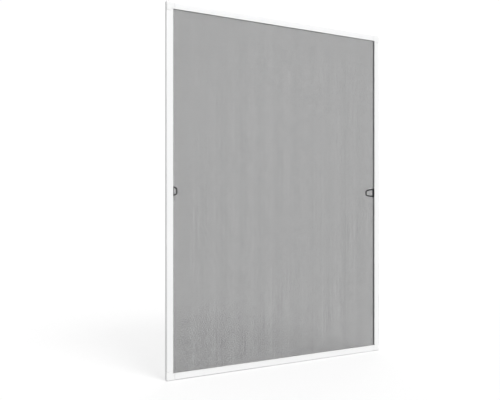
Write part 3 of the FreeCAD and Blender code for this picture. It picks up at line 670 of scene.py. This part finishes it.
def finish_nodes(nodes, names, material, edge):
    """Gives CAD nodes their material and softens their edges to that width."""
    for name in names:
        node = nodes[name]
        node.data.materials.clear()
        node.data.materials.append(material)
        weld = node.modifiers.new("weld", "WELD")
        weld.merge_threshold = WELD_DISTANCE
        flats = node.modifiers.new("whole_flats", "DECIMATE")
        flats.decimate_type = "DISSOLVE"
        flats.angle_limit = math.radians(FLAT_ANGLE)
        bevel = node.modifiers.new("soft_edges", "BEVEL")
        bevel.width = edge
        bevel.segments = EDGE_STEPS
        bevel.limit_method = "ANGLE"
        bevel.angle_limit = math.radians(SHARP_ANGLE)
        bevel.harden_normals = True


# Stage, lights and camera

def seen_directly(tree):
    """1 for rays from the camera, off gloss or through glass, and 0 for light that falls on things."""
    path = tree.nodes.new("ShaderNodeLightPath")
    from_outside = larger(tree, path.outputs["Is Camera Ray"], path.outputs["Is Glossy Ray"])
    return larger(tree, from_outside, path.outputs["Is Transmission Ray"])


def far_from_the_frame(tree):
    """1 at more and more points of the floor as they lie further from the frame, and 0 at the rest."""
    place = tree.nodes.new("ShaderNodeTexCoord")
    distance = tree.nodes.new("ShaderNodeVectorMath")
    distance.operation = "LENGTH"
    tree.links.new(place.outputs["Object"], distance.inputs[0])
    share = tree.nodes.new("ShaderNodeMapRange")
    share.inputs["From Min"].default_value = SHADOW_FADE_START
    share.inputs["From Max"].default_value = SHADOW_FADE_END
    tree.links.new(distance.outputs["Value"], share.inputs["Value"])
    chance = tree.nodes.new("ShaderNodeTexWhiteNoise")
    tree.links.new(place.outputs["Object"], chance.inputs["Vector"])
    chosen = tree.nodes.new("ShaderNodeMath")
    chosen.operation = "GREATER_THAN"
    tree.links.new(share.outputs["Result"], chosen.inputs[0])
    tree.links.new(chance.outputs["Value"], chosen.inputs[1])
    return chosen.outputs["Value"]


def light_on_floor(strength, height):
    """How much light of a sun's falls on level ground."""
    return strength * math.sin(math.radians(height)) / math.pi


def make_floor():
    """A pale floor that keeps a soft shadow round the frame and is as white as the world further off."""
    half = FLOOR_HALF_WIDTH
    mesh = bpy.data.meshes.new("floor")
    mesh.from_pydata([(-half, -half, 0), (half, -half, 0), (half, half, 0), (-half, half, 0)], [],
                     [(0, 1, 2, 3)])
    material = bpy.data.materials.new("pale_floor")
    tree = cleared_nodes(material)
    output = tree.nodes.new("ShaderNodeOutputMaterial")
    # The floor glows with the white that it lacks under this much light
    falling_light = SKY_LIGHT + light_on_floor(SUN_STRENGTH, SUN_HEIGHT)
    falling_light += light_on_floor(FILL_STRENGTH, FILL_HEIGHT)
    missing_white = SEEN_WHITE - SEEN_FLOOR_GREY * falling_light
    near = tree.nodes.new("ShaderNodeAddShader")
    tree.links.new(matt(tree, SEEN_FLOOR_GREY), near.inputs[0])
    tree.links.new(white_glow(tree, "ShaderNodeEmission", missing_white), near.inputs[1])
    far = white_glow(tree, "ShaderNodeEmission", SEEN_WHITE)
    seen = either(tree, far_from_the_frame(tree), near.outputs[0], far)
    surface = either(tree, seen_directly(tree), matt(tree, FLOOR_GREY), seen)
    tree.links.new(surface, output.inputs["Surface"])
    mesh.materials.append(material)
    floor = bpy.data.objects.new("floor", mesh)
    bpy.context.scene.collection.objects.link(floor)


def make_world():
    """Even soft light, and plain white where the eye looks past the floor."""
    world = bpy.data.worlds.new("studio")
    bpy.context.scene.world = world
    tree = cleared_nodes(world)
    output = tree.nodes.new("ShaderNodeOutputWorld")
    light = white_glow(tree, "ShaderNodeBackground", SKY_LIGHT)
    white = white_glow(tree, "ShaderNodeBackground", SEEN_WHITE)
    tree.links.new(either(tree, seen_directly(tree), light, white), output.inputs["Surface"])


def add_soft_sun(name, to_the_right, height, strength):
    """Even light: degrees round to the right from straight in front, and degrees above level."""
    data = bpy.data.lights.new(name, "SUN")
    data.angle = math.radians(SUN_SOFTNESS)
    data.energy = strength
    lamp = bpy.data.objects.new(name, data)
    lamp.rotation_euler = (math.radians(90 - height), 0, math.radians(to_the_right))
    bpy.context.scene.collection.objects.link(lamp)


def make_camera():
    """The photograph's view."""
    data = bpy.data.cameras.new("camera")
    data.lens = CAMERA_LENS
    data.sensor_width = CAMERA_SENSOR
    data.shift_y = CAMERA_SHIFT_UP
    camera = bpy.data.objects.new("camera", data)
    camera.location = CAMERA_PLACE
    camera.rotation_euler = (math.radians(90), 0, math.radians(CAMERA_TURN))
    bpy.context.scene.collection.objects.link(camera)
    bpy.context.scene.camera = camera


def main():
    """Dresses the frame, then sets the stage round it."""
    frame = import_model()
    make_camera()
    nodes = frame["nodes"]
    profiles = ["top_rail", "bottom_rail", "left_stile", "right_stile"]
    blocks = [f"corner_{corner}" for corner in CORNERS]
    splines = [f"spline_{side}" for side in SIDES]
    hooks = [f"hook_{corner}" for corner in CORNERS]
    handles = ["pull_handle_left", "pull_handle_right"]
    finish_nodes(nodes, profiles, powder_coat(), PROFILE_EDGE)
    finish_nodes(nodes, blocks, corner_plastic_with_painted_gap_shade(), BLOCK_EDGE)
    finish_nodes(nodes, splines, spline_rubber(), SPLINE_EDGE)
    finish_nodes(nodes, hooks, zinc("zinc_plate_finish", PLATE_GRAIN), HOOK_EDGE)
    finish_nodes(nodes, handles, black_plastic(), HANDLE_EDGE)
    make_insect_mesh(thread_yarn())
    pile = brush_pile()
    for side in SIDES:
        make_brush(side, pile)
    make_screws(zinc("zinc_screw_finish", SCREW_GRAIN), black_steel())
    make_floor()
    make_world()
    add_soft_sun("key", SUN_TO_THE_RIGHT, SUN_HEIGHT, SUN_STRENGTH)
    add_soft_sun("fill", FILL_TO_THE_RIGHT, FILL_HEIGHT, FILL_STRENGTH)
    bpy.context.scene.view_settings.view_transform = "Standard"


main()
